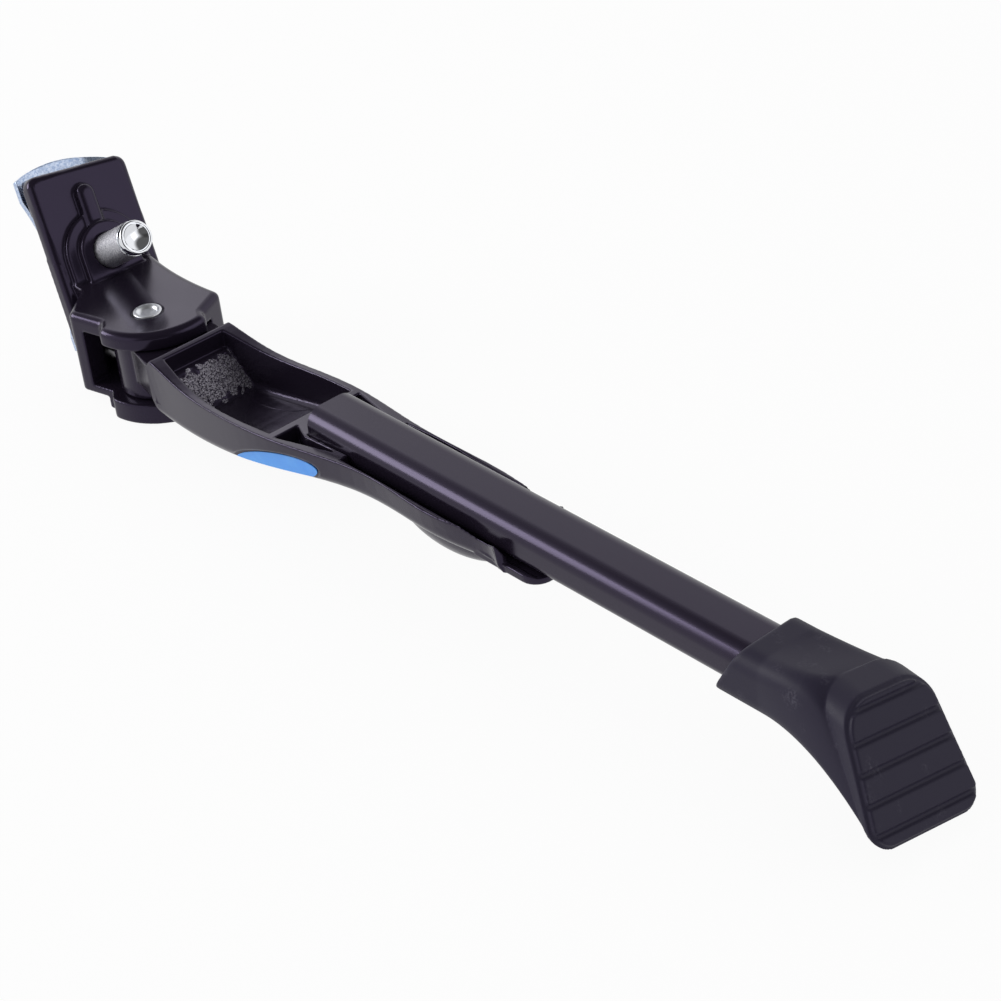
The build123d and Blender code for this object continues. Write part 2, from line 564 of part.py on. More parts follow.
box = Compound(children=[Part() + p for p in pieces.values()]).bounding_box()
shift = Pos(-(box.min.X + box.max.X) / 2, -(box.min.Y + box.max.Y) / 2, -box.min.Z)
os.makedirs("parts", exist_ok=True)
for name, piece in pieces.items():
    export_step(shift * piece, f"parts/{name}.step")
print("pin foot at", [round(v, 3) for v in shift.position], "size", [round(v, 2) for v in box.size])
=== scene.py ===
# %% [markdown]
# # Dressing a bicycle kickstand
# The solids of the stand come from a CAD model: a cast bracket that clamps to the bicycle, a cast leg
# that folds on a pin, a drawn tube that slides in the leg and a rubber foot. This lesson gives them
# softened edges, cast and moulded skins, plated fasteners, light and a camera. All lengths are in metres.

# %% Load the frame
import json
from math import cos, pi, radians, sin, sqrt, tan

import bmesh
import bpy
import numpy as np
from mathutils import Matrix, Vector, noise
from mathutils.bvhtree import BVHTree


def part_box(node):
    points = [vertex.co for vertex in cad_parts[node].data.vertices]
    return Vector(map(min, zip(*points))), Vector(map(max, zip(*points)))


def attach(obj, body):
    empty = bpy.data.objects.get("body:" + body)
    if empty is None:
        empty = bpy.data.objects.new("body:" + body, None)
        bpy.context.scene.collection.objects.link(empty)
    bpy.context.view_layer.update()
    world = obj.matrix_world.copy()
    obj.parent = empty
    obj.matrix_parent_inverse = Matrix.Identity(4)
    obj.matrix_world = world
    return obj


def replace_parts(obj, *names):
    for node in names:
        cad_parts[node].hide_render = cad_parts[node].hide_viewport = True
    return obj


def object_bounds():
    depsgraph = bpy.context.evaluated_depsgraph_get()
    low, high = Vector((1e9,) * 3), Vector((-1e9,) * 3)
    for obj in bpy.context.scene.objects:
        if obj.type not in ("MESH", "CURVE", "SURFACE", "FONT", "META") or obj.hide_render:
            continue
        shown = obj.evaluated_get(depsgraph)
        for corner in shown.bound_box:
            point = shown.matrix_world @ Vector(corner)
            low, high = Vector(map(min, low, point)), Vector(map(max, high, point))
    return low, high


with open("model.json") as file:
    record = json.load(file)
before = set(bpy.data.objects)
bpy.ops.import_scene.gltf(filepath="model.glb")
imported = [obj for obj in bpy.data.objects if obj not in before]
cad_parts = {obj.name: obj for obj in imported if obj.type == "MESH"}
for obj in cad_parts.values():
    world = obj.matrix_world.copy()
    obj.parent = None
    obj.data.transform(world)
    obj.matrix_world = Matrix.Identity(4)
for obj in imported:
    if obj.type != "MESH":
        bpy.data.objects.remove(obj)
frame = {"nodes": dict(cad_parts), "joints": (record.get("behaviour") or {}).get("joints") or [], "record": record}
MM = 0.001
cad_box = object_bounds()
print("solids", len(frame["nodes"]), "box in mm", [round(v / MM, 1) for v in cad_box[1] - cad_box[0]])

# %% [markdown]
# ## The camera
# The photograph looks down along the stand from beyond its foot, with a fairly long lens. The hinge pin
# is the one point that is easy to find in both the picture and the model, so the camera is placed from
# the middle of the pin's upper end. Right and up are the directions of the picture's two sides.

# %% Camera
PICTURE_SIDE = 1001            # pixels
FOCAL_LENGTH = 2750            # pixels
CAMERA_FROM_PIN = Vector((583.9, -331.1, 359.0)) * MM
PICTURE_RIGHT = Vector((0.65462, 0.74868, -0.10464))
PICTURE_UP = Vector((-0.35696, 0.42815, 0.83022))

pin_low, pin_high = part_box("hinge_pin")
pin_top = Vector(((pin_low.x + pin_high.x) / 2, (pin_low.y + pin_high.y) / 2, pin_high.z))
lens = bpy.data.cameras.new("photo_camera")
lens.sensor_width = 36
lens.lens = lens.sensor_width * FOCAL_LENGTH / PICTURE_SIDE
lens.clip_start, lens.clip_end = 0.01, 20
camera = bpy.data.objects.new("photo_camera", lens)
camera.matrix_world = Matrix.Translation(pin_top + CAMERA_FROM_PIN) @ Matrix(
    (PICTURE_RIGHT, PICTURE_UP, PICTURE_RIGHT.cross(PICTURE_UP))
).transposed().to_4x4()
bpy.context.scene.collection.objects.link(camera)
bpy.context.scene.camera = camera
print("camera at", [round(v, 3) for v in camera.location], "lens", round(lens.lens, 1), "mm")

# %% [markdown]
# ## Nodes and colours
# Every finish below is a small graph of nodes. One function adds a node: settings that belong to the
# node go in by name, and sockets go in as a dictionary of values or of other nodes' outputs. Colours are
# written as they look on a screen, and one function turns them into the linear values that light needs.

# %% Helpers for finishes
def linear(colour):
    """Linear red, green, blue and alpha of an sRGB colour such as #1a2b3c."""
    parts = [int(colour[i:i + 2], 16) / 255 for i in (1, 3, 5)]
    return (*(p / 12.92 if p <= 0.04045 else ((p + 0.055) / 1.055) ** 2.4 for p in parts), 1.0)


def add_node(tree, kind, sockets=None, **settings):
    node = tree.nodes.new(kind)
    for name, value in settings.items():
        setattr(node, name, value)
    for name, value in (sockets or {}).items():
        if isinstance(value, bpy.types.NodeSocket):
            tree.links.new(value, node.inputs[name])
        else:
            node.inputs[name].default_value = value
    return node


def new_finish(name):
    finish = bpy.data.materials.new(name)
    finish.use_nodes = True
    finish.node_tree.nodes.clear()
    return finish, finish.node_tree


def close_finish(tree, shader):
    add_node(tree, "ShaderNodeOutputMaterial", {"Surface": shader.outputs["BSDF"]})


def per_metre(size_mm):
    """Scale of a texture whose spots are about this many millimetres across."""
    return 1 / (size_mm * MM)


def noise_at(tree, place, size_mm, detail=2.0):
    """The value of a noise whose spots are about this many millimetres across."""
    return add_node(tree, "ShaderNodeTexNoise", {
        "Vector": place, "Scale": per_metre(size_mm), "Detail": detail}).outputs["Fac"]


# %% [markdown]
# ## Black baked enamel on castings
# The bracket and the upper leg are die-cast and dipped in black enamel that is baked hard. The eye gets
# a nearly black colour that lives from its reflections: a deep gloss, slightly uneven like orange peel,
# that turns white studio walls into a violet grey. Enamel has an IOR near 1.5; the dull bloom of a cheap
# bake takes a part of its gloss, and the specular level says how much is left.

# %% Black enamel
ENAMEL_PEEL = 1.4      # mm, ripples of the baked skin
ENAMEL_CLOUDS = 14     # mm, patches of slightly different gloss
ENAMEL_COLOUR, ENAMEL_TINT = "#1d1823", "#dccbff"

black_enamel, tree = new_finish("black_baked_enamel")
place = add_node(tree, "ShaderNodeTexCoord").outputs["Object"]
peel = noise_at(tree, place, ENAMEL_PEEL)
clouds = noise_at(tree, place, ENAMEL_CLOUDS)
gloss = add_node(tree, "ShaderNodeMapRange", {
    "Value": clouds, "From Min": 0.3, "From Max": 0.7, "To Min": 0.14, "To Max": 0.2})
relief = add_node(tree, "ShaderNodeBump", {
    "Height": peel, "Strength": 0.1, "Distance": 0.03 * MM})
close_finish(tree, add_node(tree, "ShaderNodeBsdfPrincipled", {
    "Base Color": linear(ENAMEL_COLOUR), "Roughness": gloss.outputs["Result"], "IOR": 1.5,
    "Specular IOR Level": 0.42, "Specular Tint": linear(ENAMEL_TINT), "Normal": relief.outputs["Normal"]}))

# %% [markdown]
# The slope inside the leg keeps the grain of its sand core under the same enamel. Grains are about half a
# millimetre across. Their sparkle is painted into the colour as small light grey points, painted highlights
# instead of one reflection, and these painted glints thin out across the leg.

# %% Sand-cast enamel
SAND_GRAIN = 0.55      # mm
SAND_GLINTS_PAINTED = 0.4      # mm, painted glints of the rough skin
SAND_ACROSS = (-6, 7)  # mm across the leg, from most of them to fewest

sand_enamel, tree = new_finish("enamel_over_sand_cast_core")
place = add_node(tree, "ShaderNodeTexCoord").outputs["Object"]
grain = add_node(tree, "ShaderNodeTexVoronoi", {"Vector": place, "Scale": per_metre(SAND_GRAIN)})
relief = add_node(tree, "ShaderNodeBump", {
    "Height": grain.outputs["Distance"], "Strength": 1.0, "Distance": 0.3 * MM})
# painted highlights: light grey points in the base colour stand in for the sparkle of the sand grain
painted_glints = noise_at(tree, place, SAND_GLINTS_PAINTED)
across = add_node(tree, "ShaderNodeSeparateXYZ", {"Vector": place})
most = add_node(tree, "ShaderNodeMapRange", {
    "Value": across.outputs["Y"], "From Min": SAND_ACROSS[0] * MM, "From Max": SAND_ACROSS[1] * MM,
    "To Min": 1.0, "To Max": 0.12})
painted_glints = add_node(tree, "ShaderNodeMapRange", {
    "Value": painted_glints, "From Min": 0.4, "From Max": 0.62, "To Max": most.outputs["Result"]})
tone = add_node(tree, "ShaderNodeMix", {
    "Factor": painted_glints.outputs["Result"], "A": linear("#221d28"), "B": linear("#b9b5bf")}, data_type="RGBA")
close_finish(tree, add_node(tree, "ShaderNodeBsdfPrincipled", {
    "Base Color": tone.outputs["Result"], "Roughness": 0.3, "IOR": 1.5, "Specular Tint": linear(ENAMEL_TINT),
    "Normal": relief.outputs["Normal"]}))

# %% [markdown]
# ## Black tube
# The lower leg is drawn through a die, which leaves fine lines along it, and is then stove-enamelled in a
# thinner coat than the castings. The lines are finer than a pixel, so they are drawn half a millimetre
# wide: the eye gets a reflection that is softer across the tube than along it.

# %% Stove enamel on drawn tube
DRAW_LINES = 0.5       # mm, wide enough to show
DRAW_LONG = 60         # mm

drawn_enamel, tree = new_finish("stove_enamel_on_drawn_tube")
place = add_node(tree, "ShaderNodeTexCoord").outputs["Object"]
along = add_node(tree, "ShaderNodeMapping", {"Vector": place, "Scale": (DRAW_LINES / DRAW_LONG, 1, 1)})
lines = noise_at(tree, along.outputs["Vector"], DRAW_LINES, 3.0)
gloss = add_node(tree, "ShaderNodeMapRange", {
    "Value": lines, "From Min": 0.3, "From Max": 0.7, "To Min": 0.2, "To Max": 0.24})
relief = add_node(tree, "ShaderNodeBump", {
    "Height": lines, "Strength": 0.04, "Distance": 0.02 * MM})
close_finish(tree, add_node(tree, "ShaderNodeBsdfPrincipled", {
    "Base Color": linear(ENAMEL_COLOUR), "Roughness": gloss.outputs["Result"], "IOR": 1.5,
    "Specular IOR Level": 0.43, "Specular Tint": linear(ENAMEL_TINT), "Normal": relief.outputs["Normal"]}))

# %% [markdown]
# ## Moulded rubber
# The foot is hard black rubber, moulded in one piece. It scatters most of the light, shows a fine mould
# grain, and carries faint grey scuffs where it has met other parts in its box. Rubber has an IOR near
# 1.52 and is much rougher than enamel, and the powder from its mould takes most of what gloss it has.

# %% Rubber
RUBBER_GRAIN = 0.45    # mm
SCUFF_SIZE = 6         # mm, between scuffs
SCUFF_FINE = 0.6       # mm, specks in a scuff

rubber, tree = new_finish("moulded_black_rubber")
place = add_node(tree, "ShaderNodeTexCoord").outputs["Object"]
grain = noise_at(tree, place, RUBBER_GRAIN, 3.0)
where = add_node(tree, "ShaderNodeMapRange", {
    "Value": noise_at(tree, place, SCUFF_SIZE, 1.0), "From Min": 0.6, "From Max": 0.8})
streaks = add_node(tree, "ShaderNodeMapRange", {
    "Value": noise_at(tree, place, SCUFF_FINE, 4.0), "From Min": 0.45, "From Max": 0.8, "To Max": 0.35})
scuff = add_node(tree, "ShaderNodeMath", {0: where.outputs["Result"], 1: streaks.outputs["Result"]},
                 operation="MULTIPLY")
tone = add_node(tree, "ShaderNodeMix", {
    "Factor": scuff.outputs[0], "A": linear("#2a2638"), "B": linear("#7d7a86")}, data_type="RGBA")
relief = add_node(tree, "ShaderNodeBump", {
    "Height": grain, "Strength": 0.25, "Distance": 0.06 * MM})
close_finish(tree, add_node(tree, "ShaderNodeBsdfPrincipled", {
    "Base Color": tone.outputs["Result"], "Roughness": 0.5, "IOR": 1.52, "Specular IOR Level": 0.2,
    "Normal": relief.outputs["Normal"]}))

# %% [markdown]
# ## Zinc and steel
# The clamp plate is hot-dip galvanised: its zinc froze in small bluish crystals that sparkle. The bolt,
# the washer and the lock screw are zinc plated, which looks like fine frost, except on the bolt's tip,
# which was burnished in turning. The hinge pin is turned too, and satin where it was riveted. All are
# metals, so they reflect in their own colour, and only the roughness tells them apart.

# %% Galvanised plate
ZINC_CRYSTAL = 0.45    # mm

galvanised, tree = new_finish("hot_dip_galvanised_steel")
place = add_node(tree, "ShaderNodeTexCoord").outputs["Object"]
crystal = add_node(tree, "ShaderNodeTexVoronoi", {"Vector": place, "Scale": per_metre(ZINC_CRYSTAL)})
tint = add_node(tree, "ShaderNodeMix", {
    "Factor": crystal.outputs["Color"], "A": linear("#93abd2"), "B": linear("#e3edff")}, data_type="RGBA")
gloss = add_node(tree, "ShaderNodeMapRange", {
    "Value": crystal.outputs["Distance"], "To Min": 0.26, "To Max": 0.42})
relief = add_node(tree, "ShaderNodeBump", {
    "Height": crystal.outputs["Distance"], "Strength": 0.35, "Distance": 0.1 * MM})
close_finish(tree, add_node(tree, "ShaderNodeBsdfPrincipled", {
    "Base Color": tint.outputs["Result"], "Metallic": 1.0, "Roughness": gloss.outputs["Result"],
    "Normal": relief.outputs["Normal"]}))

# %% Frosted zinc plating
FROST = 0.35           # mm, wide enough to show

zinc_frost, tree = new_finish("zinc_plated_steel_frosted")
place = add_node(tree, "ShaderNodeTexCoord").outputs["Object"]
frost = noise_at(tree, place, FROST, 4.0)
spots = add_node(tree, "ShaderNodeMapRange", {"Value": frost, "From Min": 0.36, "From Max": 0.64})
tint = add_node(tree, "ShaderNodeMix", {
    "Factor": spots.outputs["Result"], "A": linear("#a6a5b1"), "B": linear("#fbfbff")}, data_type="RGBA")
relief = add_node(tree, "ShaderNodeBump", {
    "Height": frost, "Strength": 0.7, "Distance": 0.1 * MM})
close_finish(tree, add_node(tree, "ShaderNodeBsdfPrincipled", {
    "Base Color": tint.outputs["Result"], "Metallic": 1.0, "Roughness": 0.5,
    "Normal": relief.outputs["Normal"]}))

# %% Bright steel
TURNING = 0.25         # mm, rings left by the tool

def turned_steel(name, smoothest, roughest):
    finish, tree = new_finish(name)
    place = add_node(tree, "ShaderNodeTexCoord").outputs["Object"]
    gloss = add_node(tree, "ShaderNodeMapRange", {
        "Value": noise_at(tree, place, TURNING), "From Min": 0.3, "From Max": 0.7,
        "To Min": smoothest, "To Max": roughest})
    close_finish(tree, add_node(tree, "ShaderNodeBsdfPrincipled", {
        "Base Color": linear("#eceef3"), "Metallic": 1.0, "Roughness": gloss.outputs["Result"]}))
    return finish


bright_steel = turned_steel("bright_turned_steel", 0.05, 0.1)
satin_steel = turned_steel("satin_riveted_steel", 0.3, 0.42)

# %% [markdown]
# The plunger and the spring that hold the leg open are blackened in hot salts and oiled, which leaves a thin
# dark oxide. The eye sees a dull grey-black metal that hardly shows in the depth of the hinge.

# %% Black oxide
OXIDE_MOTTLE = 0.8     # mm

black_oxide, tree = new_finish("oiled_black_oxide_steel")
place = add_node(tree, "ShaderNodeTexCoord").outputs["Object"]
mottle = noise_at(tree, place, OXIDE_MOTTLE)
tint = add_node(tree, "ShaderNodeMix", {
    "Factor": mottle, "A": linear("#1b1a1e"), "B": linear("#2f2d33")}, data_type="RGBA")
close_finish(tree, add_node(tree, "ShaderNodeBsdfPrincipled", {
    "Base Color": tint.outputs["Result"], "Metallic": 1.0, "Roughness": 0.38}))

# %% [markdown]
# ## Blue label
# A plain oval of printed vinyl film lies in a hollow of the leg. It has a flat, even blue and a gloss
# film over it, with the faintest waves from being pressed on by hand.

# %% Vinyl
FILM_WAVES = 5         # mm

blue_vinyl, tree = new_finish("blue_gloss_vinyl_film")
place = add_node(tree, "ShaderNodeTexCoord").outputs["Object"]
waves = noise_at(tree, place, FILM_WAVES)
tone = add_node(tree, "ShaderNodeMix", {
    "Factor": waves, "A": linear("#3895fa"), "B": linear("#58adff")}, data_type="RGBA")
relief = add_node(tree, "ShaderNodeBump", {
    "Height": waves, "Strength": 0.1, "Distance": 0.1 * MM})
close_finish(tree, add_node(tree, "ShaderNodeBsdfPrincipled", {
    "Base Color": tone.outputs["Result"], "Roughness": 0.2, "IOR": 1.54,
    "Normal": relief.outputs["Normal"]}))
print("finishes", [m.name for m in bpy.data.materials if m.use_nodes and m.name.islower()])

# %% [markdown]
# ## Rounded edges
# No edge of a real piece is sharp. The solids have sharp edges, and long thin facets. First the facets of
# one face are joined and a bevel rounds the edges. A bevel can throw a point far out where edges meet at a
# sharp angle, so points that leave the old skin are put back on it.

# %% Helper for rounded edges
SAME_POINT = 0.003     # mm, points nearer than this are joined
SAME_FACE = 0.3        # degrees, facets within this are joined
BEVEL_STEPS = 3
FARTHEST = 0.5         # of the bevel's width, how far a point may leave the old skin
CREASE = 40            # degrees, edges that stay sharp in a bevelled or swept piece

def rounded(node, edge, sharp=30):
    """The mesh of a solid with joined facets and edges rounded to this many millimetres."""
    mesh = bmesh.new()
    mesh.from_mesh(frame["nodes"][node].data)
    bmesh.ops.remove_doubles(mesh, verts=mesh.verts, dist=SAME_POINT * MM)
    bmesh.ops.dissolve_degenerate(mesh, edges=mesh.edges, dist=SAME_POINT * MM)
    bmesh.ops.dissolve_limit(mesh, angle_limit=radians(SAME_FACE), verts=mesh.verts, edges=mesh.edges)
    corners = [e for e in mesh.edges if len(e.link_faces) == 2 and e.calc_face_angle() > radians(sharp)]
    skin = BVHTree.FromBMesh(mesh)
    bmesh.ops.bevel(mesh, geom=corners, offset=edge * MM, offset_type="OFFSET", segments=BEVEL_STEPS,
                    profile=0.5, affect="EDGES", clamp_overlap=False)
    for vert in mesh.verts:
        on_skin, _, _, away = skin.find_nearest(vert.co)
        if away > FARTHEST * edge * MM:
            vert.co = on_skin
    for face in mesh.faces:
        face.smooth = True
        face.material_index = 0
    data = to_data(mesh, node)
    print(node, "edges rounded", len(corners), "faces", len(data.polygons))
    return data


def to_data(mesh, name):
    """Mesh data from a finished bmesh, which is freed."""
    data = bpy.data.meshes.new(name)
    mesh.to_mesh(data)
    mesh.free()
    return data


def join_rings(mesh, lower, upper, slot=0):
    """Smooth faces between two closed rings of as many points."""
    for k in range(len(lower)):
        j = (k + 1) % len(lower)
        face = mesh.faces.new((lower[k], lower[j], upper[j], upper[k]))
        face.material_index, face.smooth = slot, True


def add_piece(name, data, body, *finishes):
    """A new object in the scene with these finishes, which rides on a body."""
    piece = bpy.data.objects.new(name, data)
    data.name = name
    for finish in finishes:
        data.materials.append(finish)
    bpy.context.scene.collection.objects.link(piece)
    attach(piece, body)
    return piece


def flat_faces_stay_flat(piece):
    weights = piece.modifiers.new("flat faces stay flat", "WEIGHTED_NORMAL")
    weights.keep_sharp = True


# %% [markdown]
# ## Cast skins
# Castings also have filled inside corners, because metal and enamel run into them. Voxels turn the bevelled
# mesh into small even squares, a few smoothing passes round every corner, inside ones as well, and a last
# step joins squares where the skin is flat.

# %% Helper for skins
def as_mesh(piece):
    """The mesh of an object with its modifiers."""
    bpy.context.view_layer.update()
    return bpy.data.meshes.new_from_object(piece.evaluated_get(bpy.context.evaluated_depsgraph_get()))


def smooth_points(skin, points, passes):
    for _ in range(passes):
        bmesh.ops.smooth_vert(skin, verts=points, factor=0.5,
                              use_axis_x=True, use_axis_y=True, use_axis_z=True)


def cast_skin(node, name, edge, voxel, passes, keep, body, finishes, touch_up=None, turn=Matrix()):
    """A rounded skin over a solid, which stands for it; touch_up may move points before faces are joined,
    and turn lays a slanting face along the rows of voxels."""
    piece = add_piece(name, rounded(node, edge), body, *finishes)
    piece.data.transform(turn)
    squares = piece.modifiers.new("voxels", "REMESH")
    squares.mode, squares.voxel_size = "VOXEL", voxel * MM
    rounding = piece.modifiers.new("rounding", "SMOOTH")
    rounding.factor, rounding.iterations = 0.5, passes
    piece.data = as_mesh(piece)
    piece.data.transform(turn.inverted())
    piece.modifiers.clear()
    if touch_up:
        touch_up(piece.data)
    joining = piece.modifiers.new("joining", "DECIMATE")
    joining.ratio = keep
    full = len(piece.data.polygons)
    piece.data = as_mesh(piece)
    piece.modifiers.clear()
    piece.data.polygons.foreach_set("use_smooth", [True] * len(piece.data.polygons))
    flat_faces_stay_flat(piece)
    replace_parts(piece, node)
    print(name, "squares", full, "kept", len(piece.data.polygons), [m.name for m in piece.data.materials])
    return piece


# %% [markdown]
# ## Bracket
# One casting holds both ears of the hinge, the plate that meets the chainstays and the boss for the bolt.
# It is the thickest piece, with the softest edges, so it gets coarser voxels and more smoothing passes than
# the leg. The border of its plate is the roundest of all and gets extra passes.

# %% Bracket
PLATE_BORDER = 2.4                     # mm, width of the softened border
BORDER_PASSES = 24
PLATE_FACING = Vector((0.86, 0, 0.51))
PLATE_ABOVE = 5                        # mm, how far the plate's softened part lies above the pin

def soften_border(data):
    skin = bmesh.new()
    skin.from_mesh(data)
    above = [v for v in skin.verts if v.co.z > pin_top.z + PLATE_ABOVE * MM]
    rise = PLATE_FACING.cross(Vector((0, 1, 0)))
    left, right = min(v.co.y for v in above), max(v.co.y for v in above)
    top = max(v.co.dot(rise) for v in above)
    border = [v for v in above
              if min(v.co.y - left, right - v.co.y, top - v.co.dot(rise)) < PLATE_BORDER * MM]
    smooth_points(skin, border, BORDER_PASSES)
    print("border points", len(border))
    skin.to_mesh(data)
    skin.free()


cast_skin("bracket", "bracket_casting", edge=0.35, voxel=0.3, passes=9, keep=0.22, body="bracket",
          finishes=[black_enamel], touch_up=soften_border)

# %% [markdown]
# ## Upper leg
# The leg is a thin-walled trough with crisp rims, so its voxels are smaller and its passes few. The
# slope behind the hinge is the only rough face. Its faces are found by place and by direction, with a ragged
# border, and their points are moved in and out by noise.

# %% Leg
SLOPE_FROM, SLOPE_TO = 21.5, 32.0      # mm from the pin, along the leg
SLOPE_FACING = Vector((0.74, 0, 0.67))
SLOPE_WITHIN = 0.9                     # cosine of the angle from that direction
SLOPE_ROUGH = 0.22                     # mm
SLOPE_LUMPS = (1.5, 0.6)               # mm
SLOPE_FADE = 2.6                       # mm, width of the ragged border
RAGGED_SIZE = 1.8                      # mm, its tongues
RAGGED_REACH, RAGGED_FROM = 1.3, 0.6   # of the fade, how far they reach and where the border lies

def roughen_slope(data):
    skin = bmesh.new()
    skin.from_mesh(data)
    skin.normal_update()
    for face in skin.faces:
        middle = face.calc_center_median()
        along = (middle.x - pin_top.x) / MM
        inside = min(along - SLOPE_FROM, SLOPE_TO - along) / SLOPE_FADE
        if inside > 0 and face.normal.dot(SLOPE_FACING) > SLOPE_WITHIN:
            if inside + RAGGED_REACH * noise.noise(middle * per_metre(RAGGED_SIZE)) > RAGGED_FROM:
                face.material_index = 1
    rough = {v for f in skin.faces if f.material_index == 1 for v in f.verts}
    for vert in rough:
        lumps = sum(noise.noise(vert.co * per_metre(size)) for size in SLOPE_LUMPS)
        vert.co += vert.normal * (SLOPE_ROUGH * lumps * MM)
    print("rough points", len(rough))
    skin.to_mesh(data)
    skin.free()


leg = cast_skin("leg_body", "leg_casting", edge=0.35, voxel=0.25, passes=2, keep=0.16, body="leg",
                finishes=[black_enamel, sand_enamel], touch_up=roughen_slope)

# %% [markdown]
# A thin bead of metal runs along the floor of the leg, where two parts of the mould met. It is too thin for
# the voxels, so it is a piece of its own: a round bead laid along a curve on the floor that is found by
# looking straight down on the skin.

# %% Flash line
FLASH_ROUTE = (                        # mm from the pin, along and across the leg
    (29.5, 8.6), (31.5, 7.4), (36.0, 6.0), (42.0, 5.4), (50.0, 7.4), (55.0, 10.2))
FLASH_RADIUS = 0.17                    # mm
FLASH_THIN = 0.3                       # of the radius, at both ends
FLASH_SIDES, FLASH_STEPS = 8, 40

floor_skin = BVHTree.FromPolygons(
    [v.co for v in leg.data.vertices], [p.vertices for p in leg.data.polygons])
route = np.array(FLASH_ROUTE)
turns = np.linspace(0, 1, len(route))
curve = [np.polynomial.Polynomial.fit(turns, values, 3) for values in route.T]
bead, rings = bmesh.new(), []
for turn in np.linspace(0, 1, FLASH_STEPS):
    over = pin_top + Vector((curve[0](turn) * MM, curve[1](turn) * MM, 0))
    spot = floor_skin.ray_cast(over, Vector((0, 0, -1)))[0]
    way = Vector((curve[0].deriv()(turn), curve[1].deriv()(turn), 0)).normalized()
    side = way.cross(Vector((0, 0, 1)))
    swell = sqrt(sin(pi * turn)) if 0 < turn < 1 else 0
    radius = FLASH_RADIUS * MM * (FLASH_THIN + (1 - FLASH_THIN) * swell)
    rings.append([bead.verts.new(spot + radius * (side * cos(a) + Vector((0, 0, 1)) * sin(a)))
                  for a in (2 * pi * k / FLASH_SIDES for k in range(FLASH_SIDES))])
for lower, upper in zip(rings, rings[1:]):
    join_rings(bead, lower, upper)
bead.faces.new(rings[0])
bead.faces.new(list(reversed(rings[-1])))
bmesh.ops.recalc_face_normals(bead, faces=bead.faces)
data = to_data(bead, "flash_line")
add_piece("flash_line", data, "leg", black_enamel)
print("flash line from", [round(v, 4) for v in data.vertices[0].co], "faces", len(data.polygons))

# %% [markdown]
# ## Foot
# Rubber fills its mould better than metal does, but it is rounded all over when it is broken out. The
# elbow is a free form, so its facets get extra smoothing, while the grooved sole stays crisp. The sole
# slants, and rows of voxels would leave steps along its edges, so the foot is turned to lie square to them.

# %% Rubber foot
sole = next(m for m in frame["record"]["mounts"] if m["name"] == "sole")
SOLE_MIDDLE, SOLE_OUT = Vector(sole["pos_m"]), Vector(sole["axis"]).normalized()
SOLE_ACROSS = Vector((0.0711, 0.9903, -0.1197))
CAP_ZONE = 12.0                        # mm behind the sole that stay crisp
ELBOW_PASSES = 12

def smooth_elbow(data):
    skin = bmesh.new()
    skin.from_mesh(data)
    soft = [v for v in skin.verts if (SOLE_MIDDLE - v.co).dot(SOLE_OUT) > CAP_ZONE * MM]
    smooth_points(skin, soft, ELBOW_PASSES)
    print("softened points", len(soft))
    skin.to_mesh(data)
    skin.free()


square = Matrix((SOLE_OUT, SOLE_ACROSS, SOLE_OUT.cross(SOLE_ACROSS))).to_4x4()
cast_skin("foot", "rubber_foot", edge=0.45, voxel=0.25, passes=4, keep=0.22, body="tube",
          finishes=[rubber], touch_up=smooth_elbow, turn=square)

# %% [markdown]
# ## Tube
# The tube is drawn to an oblong section with round corners, and it is these corners that catch the lamp in
# one long highlight. A section of points is swept along the leg, with a wall inside and both ends deburred.
# It keeps the length and height of its solid and lies against the near wall of the channel.

# %% Drawn tube
TUBE_WIDE, TUBE_SHIFT = 15.6, -0.2     # mm
TUBE_WALL, TUBE_DEBURR = 2.1, 0.35     # mm
TOP_CORNER, LOW_CORNER = 4.5, 3.2      # mm
LEAST_CORNER = 0.3                     # mm, of the inner wall
CORNER_STEPS = 12

tube_low, tube_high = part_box("leg_tube")
tube_middle = (tube_low.y + tube_high.y) / 2 + TUBE_SHIFT * MM


def tube_section(inside):
    """Points across and up, of the outline moved in by this many millimetres, from the near side round."""
    half, top, low = TUBE_WIDE / 2, tube_high.z / MM, tube_low.z / MM
    corners = ((-1, 1, TOP_CORNER, 180), (1, 1, TOP_CORNER, 90),
               (1, -1, LOW_CORNER, 0), (-1, -1, LOW_CORNER, -90))
    made = []
    for across, up, corner, start in corners:
        centre = Vector((across * (half - corner), (top if up > 0 else low) - up * corner))
        radius = max(corner - inside, LEAST_CORNER)
        centre += Vector((across, up)) * (corner - inside - radius)
        for step in range(CORNER_STEPS + 1):
            angle = radians(start - 90 * step / CORNER_STEPS)
            made.append(centre + radius * Vector((cos(angle), sin(angle))))
    return made


stations = ((tube_low.x, TUBE_WALL), (tube_low.x, TUBE_DEBURR), (tube_low.x + TUBE_DEBURR * MM, 0),
            (tube_high.x - TUBE_DEBURR * MM, 0), (tube_high.x, TUBE_DEBURR), (tube_high.x, TUBE_WALL))
sweep = bmesh.new()
rings = [[sweep.verts.new((x, tube_middle + p.x * MM, p.y * MM)) for p in tube_section(inside)]
         for x, inside in stations]
for lower, upper in zip(rings, rings[1:] + rings[:1]):
    join_rings(sweep, lower, upper)
bmesh.ops.recalc_face_normals(sweep, faces=sweep.faces)
data = to_data(sweep, "drawn_tube")
data.set_sharp_from_angle(angle=radians(CREASE))
tube = add_piece("drawn_tube", data, "tube", drawn_enamel)
flat_faces_stay_flat(tube)
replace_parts(tube, "leg_tube")
print("tube faces", len(data.polygons), "long", round((tube_high.x - tube_low.x) / MM, 1), "mm")

# %% [markdown]
# ## Clamp plate, washer and pin
# These have plain or evenly curved faces, and the bevel alone is enough: it keeps the faces whole.

# %% Bevelled copies
def rounded_copy(node, name, edge, body, finish):
    """A copy of a solid with rounded edges, which stands for the solid."""
    data = rounded(node, edge)
    data.set_sharp_from_angle(angle=radians(CREASE))
    piece = add_piece(name, data, body, finish)
    flat_faces_stay_flat(piece)
    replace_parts(piece, node)


